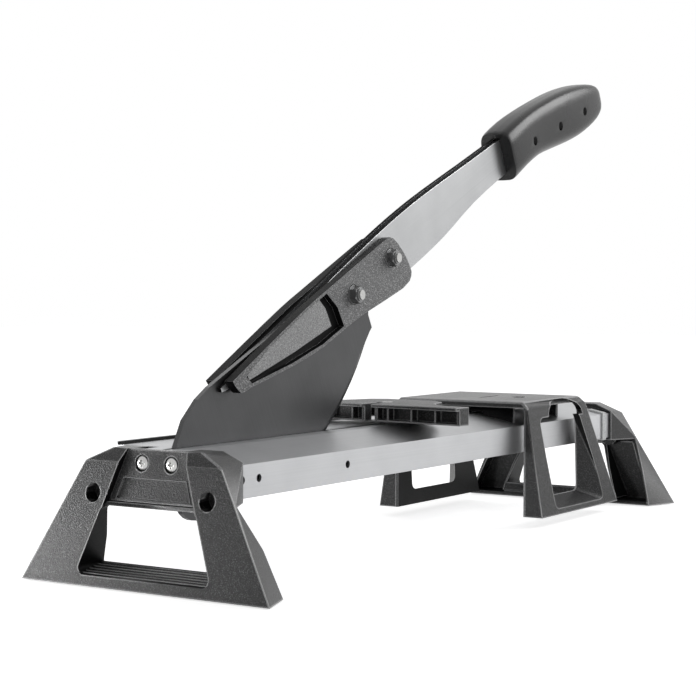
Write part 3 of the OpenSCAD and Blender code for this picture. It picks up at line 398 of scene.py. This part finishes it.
# Thin bead moulded round the sunk, bare place on each bridge panel; its heights are
# measured up the raked end face, from the top of the pads
PLACE_LOW_RISE, PLACE_LOW_HALF = 0.066, 0.0345
PLACE_HIGH_RISE, PLACE_HIGH_HALF = 0.0813, 0.0287
PANEL_SET_BACK = 0.005
FACE_LEAN = radians(9.014)
PAD_HEIGHT = 0.0008
BEAD_RADIUS = 0.00045
for end, outward in (("front", -1), ("rear", 1)):
    low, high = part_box(f"{end}_foot")
    sole_x = low[0] if outward < 0 else high[0]
    bpy.ops.object.select_all(action="DESELECT")
    bpy.ops.mesh.primitive_plane_add(size=2, location=(0, 0, 0))
    bead = bpy.context.object
    bead.name = f"{end}_place_bead"
    for vertex in bead.data.vertices:
        if vertex.co.x > 0:
            rise, half = PLACE_HIGH_RISE + BEAD_RADIUS, PLACE_HIGH_HALF + BEAD_RADIUS
        else:
            rise, half = PLACE_LOW_RISE - BEAD_RADIUS, PLACE_LOW_HALF + BEAD_RADIUS
        inward = PANEL_SET_BACK * cos(FACE_LEAN) + rise * sin(FACE_LEAN)
        upward = rise * cos(FACE_LEAN) - PANEL_SET_BACK * sin(FACE_LEAN)
        vertex.co = (sole_x - outward * inward, half if vertex.co.y > 0 else -half,
                     PAD_HEIGHT + upward)
    bpy.ops.object.mode_set(mode="EDIT")
    bpy.ops.mesh.select_all(action="SELECT")
    bpy.ops.mesh.delete(type="ONLY_FACE")
    bpy.ops.object.mode_set(mode="OBJECT")
    bpy.ops.object.convert(target="CURVE")
    bead.data.bevel_depth = BEAD_RADIUS
    bead.data.bevel_resolution = 2
    bpy.ops.object.convert(target="MESH")
    bpy.ops.object.shade_smooth_by_angle(angle=radians(50))
    bead.data.materials.clear()
    # The bead takes the lighter colour of painted highlight
    bead.data.materials.append(painted_highlight_edge)
    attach(bead, "base")


# Pads: two small rubber buttons under each foot, pressed into its sole, so that the tool
# doesn't slide.
pad_rubber = finish(
    "pad_rubber", skin,
    {"Colour": (0.012, 0.012, 0.012, 1), "Fleck Colour": (0.05, 0.05, 0.05, 1),
     "Grain Size": 2500.0, "Fleck Amount": 0.2, "Relief": 0.2, "Roughness": 0.75})
for end in ("front", "rear"):
    ease_edges(f"{end}_foot_buttons", [f"{end}_foot_pads"], pad_rubber,
               "base", edge=0.0003)


# Rails: two aluminium extrusions, satin anodised, with the die's fine lines along them.
# The near one has a sloped deck; the far one has a flat deck with a raised lip.
lined, lined_in, lined_out = shader_group(
    "drawn_lines",
    [("Colour", "NodeSocketColor", (0.6, 0.6, 0.6, 1)),
     ("Dark Colour", "NodeSocketColor", (0.45, 0.45, 0.45, 1)),
     ("Line Stretch", "NodeSocketVector", (4.0, 900.0, 900.0)),
     ("Line Turn", "NodeSocketVector", (0.0, 0.0, 0.0)),
     ("Contrast", "NodeSocketFloat", 0.4),
     ("Relief", "NodeSocketFloat", 0.1),
     ("Roughness", "NodeSocketFloat", 0.35)],
    [("Colour", "NodeSocketColor"), ("Roughness", "NodeSocketFloat"),
     ("Normal", "NodeSocketVector")])
STAIN_SHARE = 0.35
place = add_node(lined, "ShaderNodeTexCoord")
turned = add_node(lined, "ShaderNodeVectorRotate", rotation_type="EULER_XYZ")
stretch = add_node(lined, "ShaderNodeVectorMath", operation="MULTIPLY")
lines = add_node(lined, "ShaderNodeTexNoise", Scale=1.0, Detail=4.0, Roughness=0.6)
line_share = add_node(lined, "ShaderNodeMath", operation="MULTIPLY")
stain = add_node(lined, "ShaderNodeTexNoise", Scale=22.0, Detail=3.0)
stain_mask = add_node(lined, "ShaderNodeMapRange", From_Min=0.35, From_Max=0.75)
tone = add_node(lined, "ShaderNodeMath", operation="MULTIPLY_ADD")
tone.inputs[1].default_value = STAIN_SHARE
paint = add_node(lined, "ShaderNodeMix", data_type="RGBA")
gloss = add_node(lined, "ShaderNodeMapRange", To_Min=-0.07, To_Max=0.09)
gloss_sum = add_node(lined, "ShaderNodeMath", operation="ADD")
relief = add_node(lined, "ShaderNodeBump", Distance=0.0001)
for start, end in [
    (place.outputs["Object"], turned.inputs["Vector"]),
    (place.outputs["Object"], stain.inputs["Vector"]),
    (lined_in.outputs["Line Turn"], turned.inputs["Rotation"]),
    (turned.outputs["Vector"], stretch.inputs[0]),
    (lined_in.outputs["Line Stretch"], stretch.inputs[1]),
    (stretch.outputs["Vector"], lines.inputs["Vector"]),
    (lines.outputs["Fac"], line_share.inputs[0]),
    (lined_in.outputs["Contrast"], line_share.inputs[1]),
    (stain.outputs["Fac"], stain_mask.inputs["Value"]),
    (stain_mask.outputs["Result"], tone.inputs[0]),
    (line_share.outputs[0], tone.inputs[2]),
    (tone.outputs[0], paint.inputs["Factor"]),
    (lined_in.outputs["Colour"], paint.inputs["A"]),
    (lined_in.outputs["Dark Colour"], paint.inputs["B"]),
    (lines.outputs["Fac"], gloss.inputs["Value"]),
    (gloss.outputs["Result"], gloss_sum.inputs[0]),
    (lined_in.outputs["Roughness"], gloss_sum.inputs[1]),
    (lines.outputs["Fac"], relief.inputs["Height"]),
    (lined_in.outputs["Relief"], relief.inputs["Strength"]),
    (paint.outputs["Result"], lined_out.inputs["Colour"]),
    (gloss_sum.outputs[0], lined_out.inputs["Roughness"]),
    (relief.outputs["Normal"], lined_out.inputs["Normal"]),
]:
    lined.links.new(start, end)

rail_aluminium = finish(
    "rail_aluminium", lined,
    {"Colour": (0.52, 0.525, 0.535, 1), "Dark Colour": (0.4, 0.405, 0.415, 1),
     "Line Stretch": (3.0, 1400.0, 1400.0), "Contrast": 0.5, "Relief": 0.12,
     "Roughness": 0.38},
    Metallic=0.9)
for side in ("near", "far"):
    ease_edges(f"{side}_extrusion", [f"{side}_rail"], rail_aluminium,
               "base", edge=0.0003)


# Strips along the slot: ground steel bars let into the rails on both sides of the blade,
# level with the deck, so that the board is sheared between steel and steel.
shear_steel = finish(
    "shear_steel", lined,
    {"Colour": (0.42, 0.43, 0.44, 1), "Dark Colour": (0.28, 0.285, 0.29, 1),
     "Line Stretch": (5.0, 2200.0, 2200.0), "Contrast": 0.6, "Relief": 0.15,
     "Roughness": 0.3},
    Metallic=1.0)
for side in ("near", "far"):
    ease_edges(f"{side}_shear_bar", [f"{side}_shear_strip"], shear_steel,
               "base", edge=0.00015)


# Edge strip: a black plastic trim, cut from a length and pushed in along the inside of
# the far rail's lip.
trim_black = finish(
    "trim_black", skin,
    {"Colour": (0.015, 0.015, 0.015, 1), "Fleck Colour": (0.05, 0.05, 0.05, 1),
     "Grain Size": 2200.0, "Fleck Amount": 0.2, "Relief": 0.15, "Roughness": 0.6})
ease_edges("far_lip_trim", ["far_edge_strip"], trim_black, "base")


# Rail band: a thin pale plastic band that grips both rails round their sides and their
# underside, just before the rear foot.
band_grey = finish(
    "band_grey", skin,
    {"Colour": (0.62, 0.63, 0.63, 1), "Fleck Colour": (0.5, 0.5, 0.5, 1),
     "Grain Size": 1800.0, "Fleck Amount": 0.2, "Relief": 0.1, "Roughness": 0.45})
ease_edges("rail_band", ["rail_end_collar"], band_grey, "base",
           edge=0.0003)


# Fasteners of the base: pan-head screws in the feet, pivot bolt and thin nut, and the
# stop's screw, in zinc plated steel, slightly dulled; the plain steel plate under the
# rails that this screw draws up; and two thin brass washers beside the blade.
plated_steel = finish(
    "plated_steel", lined,
    {"Colour": (0.6, 0.6, 0.59, 1), "Dark Colour": (0.28, 0.28, 0.275, 1),
     "Line Stretch": (700.0, 700.0, 700.0), "Contrast": 0.5, "Relief": 0.1,
     "Roughness": 0.28},
    Metallic=1.0)
for name, node in [("front_pan_screws", "front_foot_screws"),
                   ("rear_pan_screws", "rear_foot_screws"), ("pivot_stud", "pivot_bolt"),
                   ("pivot_thin_nut", "pivot_nut"), ("stop_stud", "stop_screw")]:
    ease_edges(name, [node], plated_steel, "base", edge=0.0002)
ease_edges("stop_underplate", ["stop_clamp_plate"], shear_steel, "base",
           edge=0.0003)
spacer_brass = finish(
    "spacer_brass", lined,
    {"Colour": (0.6, 0.45, 0.18, 1), "Dark Colour": (0.4, 0.28, 0.1, 1),
     "Line Stretch": (900.0, 900.0, 900.0), "Contrast": 0.4, "Relief": 0.1,
     "Roughness": 0.35},
    Metallic=1.0)
ease_edges("pivot_washers", ["pivot_spacers"], spacer_brass, "base")


# Blade: one plate of dark hardened steel, ground on both sides to the edge, with the
# grinding marks across it. It turns on the pivot bolt between the two rails.
LEVER_TILT = radians(25)
blade_steel = finish(
    "blade_steel", lined,
    {"Colour": (0.085, 0.0855, 0.087, 1), "Dark Colour": (0.05, 0.0505, 0.052, 1),
     "Line Stretch": (1600.0, 1600.0, 12.0), "Line Turn": (0, LEVER_TILT, 0),
     "Contrast": 0.5, "Relief": 0.15, "Roughness": 0.38},
    Metallic=0.95)
blade_plate = ease_edges("blade_plate", ["blade"], blade_steel, "lever",
                         smooth=False)
PLATE_FACE_Y = 0.0019
FACING_SIDEWAYS = 0.999


def refill_sides(piece):
    """Both flat sides are filled anew from their outlines, holes left open."""
    bpy.ops.object.mode_set(mode="EDIT")
    bpy.ops.mesh.select_mode(type="FACE")
    bpy.ops.mesh.select_all(action="DESELECT")
    bpy.ops.object.mode_set(mode="OBJECT")
    for face in piece.data.polygons:
        flat = abs(face.normal.y) > FACING_SIDEWAYS
        face.select = flat and abs(face.center.y) > PLATE_FACE_Y
    bpy.ops.object.mode_set(mode="EDIT")
    bpy.ops.mesh.delete(type="FACE")
    for side in (-1, 1):
        bpy.ops.mesh.select_mode(type="EDGE")
        bpy.ops.mesh.select_all(action="DESELECT")
        bpy.ops.mesh.select_non_manifold(extend=False, use_wire=False, use_boundary=True,
                                         use_multi_face=False, use_non_contiguous=False,
                                         use_verts=False)
        bpy.ops.object.mode_set(mode="OBJECT")
        for edge in piece.data.edges:
            ends = [piece.data.vertices[end].co.y * side for end in edge.vertices]
            edge.select = edge.select and min(ends) > PLATE_FACE_Y
        bpy.ops.object.mode_set(mode="EDIT")
        bpy.ops.mesh.fill(use_beauty=True)
    bpy.ops.mesh.select_all(action="SELECT")
    bpy.ops.mesh.normals_make_consistent(inside=False)
    bpy.ops.object.mode_set(mode="OBJECT")
    bpy.ops.object.shade_flat()


refill_sides(blade_plate)


# Lever arms: two flat steel strips side by side, brushed along their length, their cut
# edges near-black as painted shade, with a steel core bar between them in the handle.
arm_steel = finish(
    "arm_steel", lined,
    {"Colour": (0.5, 0.505, 0.51, 1), "Dark Colour": (0.34, 0.345, 0.35, 1),
     "Line Stretch": (6.0, 1500.0, 1500.0), "Line Turn": (0, LEVER_TILT, 0),
     "Contrast": 0.6, "Relief": 0.15, "Roughness": 0.34},
    Metallic=0.95)
# Near-black copy for the strips' cut edges: painted shade
painted_shade_cut_edge = finish(
    "painted_shade_cut_edge", lined,
    {"Colour": (0.014, 0.014, 0.014, 1), "Dark Colour": (0.006, 0.006, 0.006, 1),
     "Line Stretch": (900.0, 60.0, 900.0), "Contrast": 0.6, "Relief": 0.2,
     "Roughness": 0.7},
    Specular_IOR_Level=0.05)
RIM_SIDEWAYS = 0.5


def strip_finish(face):
    """Cut edges, which face along the lever's plane, take a near-black colour as painted
    shade.
    """
    return painted_shade_cut_edge if abs(face.normal.y) < RIM_SIDEWAYS else None


for side in ("near", "far"):
    strip = ease_edges(f"{side}_lever_strip", [f"{side}_arm"], arm_steel,
                       "lever", edge=0.0003, turn=50, smooth=False)
    paint_faces(strip, [painted_shade_cut_edge], strip_finish)
ease_edges("lever_core", ["arm_spacer"], arm_steel, "lever", edge=0.0003)


# Brackets: two black castings with a sunk web and a groove, clamped over blade and arms
# by two bolts. The face is gritty and the web lighter; walls and groove are smooth and
# near-black as painted shade, and the rounded edges lighter as painted highlight.
casting_grit = finish(
    "casting_grit", skin,
    {"Colour": (0.1, 0.101, 0.103, 1), "Fleck Colour": (0.75, 0.75, 0.75, 1),
     "Grain Size": 850.0, "Fleck Amount": 0.8, "Relief": 0.9, "Roughness": 0.45})
# Lighter copy for the castings' rounded edges: painted highlight
casting_edge_highlight = finish(
    "casting_edge_highlight", skin,
    {"Colour": (0.2, 0.201, 0.203, 1), "Fleck Colour": (0.7, 0.7, 0.7, 1),
     "Grain Size": 850.0, "Fleck Amount": 0.4, "Relief": 0.4, "Roughness": 0.3},
    Specular_IOR_Level=0.6)
# Near-black copy for the castings' walls and groove: painted shade
casting_painted_shade = finish(
    "casting_painted_shade", skin,
    {"Colour": (0.006, 0.006, 0.0062, 1), "Fleck Colour": (0.05, 0.05, 0.05, 1),
     "Grain Size": 1200.0, "Fleck Amount": 0.3, "Relief": 0.25, "Roughness": 0.5},
    Specular_IOR_Level=0.06)
casting_web = finish(
    "casting_web", skin,
    {"Colour": (0.27, 0.271, 0.274, 1), "Fleck Colour": (0.8, 0.8, 0.8, 1),
     "Grain Size": 850.0, "Fleck Amount": 0.8, "Relief": 0.9, "Roughness": 0.45})
WEB_FACE_Y = 0.01166
RAISED_FACE_Y = 0.0125


def bracket_finish(face):
    """Walls and the groove get a smooth, near-black colour as painted shade, the web is
    lighter than the face.
    """
    depth = abs(face.center.y)
    if abs(face.normal.y) < RIM_SIDEWAYS or depth < WEB_FACE_Y:
        return casting_painted_shade
    return casting_web if depth < RAISED_FACE_Y else None


for side in ("near", "far"):
    casting = ease_edges(f"{side}_bracket_casting", [f"{side}_bracket"], casting_grit,
                         "lever", edge=0.0007, turn=25,
                         edge_material=casting_edge_highlight)
    paint_faces(casting, [casting_painted_shade, casting_web], bracket_finish)


# Bracket bolts: two plated hexagon bolts, put through from the far side, with darker
# nuts on the near side and washers under heads and nuts.
nut_steel = finish(
    "nut_steel", lined,
    {"Colour": (0.24, 0.242, 0.245, 1), "Dark Colour": (0.13, 0.13, 0.13, 1),
     "Line Stretch": (500.0, 500.0, 500.0), "Contrast": 0.4, "Relief": 0.05,
     "Roughness": 0.32},
    Metallic=1.0)
for name, node, steel in [("bracket_hex_bolts", "bracket_bolts", plated_steel),
                          ("bracket_hex_nuts", "bracket_nuts", nut_steel),
                          ("bracket_flat_washers", "bracket_washers", nut_steel)]:
    ease_edges(name, [node], steel, "lever", edge=0.0002)


# Handle: two moulded halves in satin black plastic, held together through the arms by
# three sleeve screws.
handle_black = finish(
    "handle_black", skin,
    {"Colour": (0.007, 0.007, 0.0073, 1), "Fleck Colour": (0.04, 0.04, 0.04, 1),
     "Grain Size": 2600.0, "Fleck Amount": 0.1, "Relief": 0.06, "Roughness": 0.27},
    Specular_IOR_Level=0.3)
for side in ("near", "far"):
    ease_edges(f"{side}_grip_half", [f"{side}_handle_shell"], handle_black,
               "lever", edge=0.0005, turn=40)
sleeve_dark = finish(
    "sleeve_dark", lined,
    {"Colour": (0.12, 0.12, 0.12, 1), "Dark Colour": (0.06, 0.06, 0.06, 1),
     "Line Stretch": (900.0, 900.0, 900.0), "Contrast": 0.4, "Relief": 0.1,
     "Roughness": 0.4},
    Metallic=0.9)
ease_edges("grip_screws", ["handle_screws"], sleeve_dark, "lever",
           edge=0.0002)


# Stop: a ribbed moulding across the rails, in the same black plastic as the feet, with a
# gap for the blade. It swivels on its screw to set the angle of the cut.
# Its rounded edges take the lighter colour of painted highlight
ease_edges("ribbed_stop", ["stop_fence"], moulded_black, "stop",
           edge=0.0004, edge_material=painted_highlight_edge)


# Panel stand: a moulded table with two flared legs, carried on the rails and lifted off
# by hand. Its top is smoother and lighter than the legs, the lighter colour being painted
# sheen; its inner walls and underside are dull and near-black as painted shade, and its
# rounded edges lighter as painted highlight.
# Lighter, glossier copy for the table's top: painted sheen
stand_top_painted_sheen = finish(
    "stand_top_painted_sheen", skin,
    {"Colour": (0.03, 0.0303, 0.031, 1), "Fleck Colour": (0.3, 0.3, 0.304, 1),
     "Grain Size": 1100.0, "Fleck Amount": 0.6, "Relief": 0.5, "Roughness": 0.36,
     "Edge Wear": 1.0},
    Specular_IOR_Level=0.55)
TABLE_LOW_Z = 0.11
FACING_UP = 0.9
FACING_DOWN = -0.5


def stand_finish(face):
    """The table's top gets a lighter colour as painted sheen; faces turned to the rails or
    the bench get a near-black one as painted shade.
    """
    if face.normal.z > FACING_UP and face.center.z > TABLE_LOW_Z:
        return stand_top_painted_sheen
    inward = face.normal.y * face.center.y < 0
    return painted_shade_wall if inward or face.normal.z < FACING_DOWN else None


stand = ease_edges("lift_off_stand", ["panel_stand"], moulded_black,
                   "stand", edge=0.002, segments=4, edge_material=painted_highlight_edge)
paint_faces(stand, [painted_shade_wall, stand_top_painted_sheen], stand_finish)
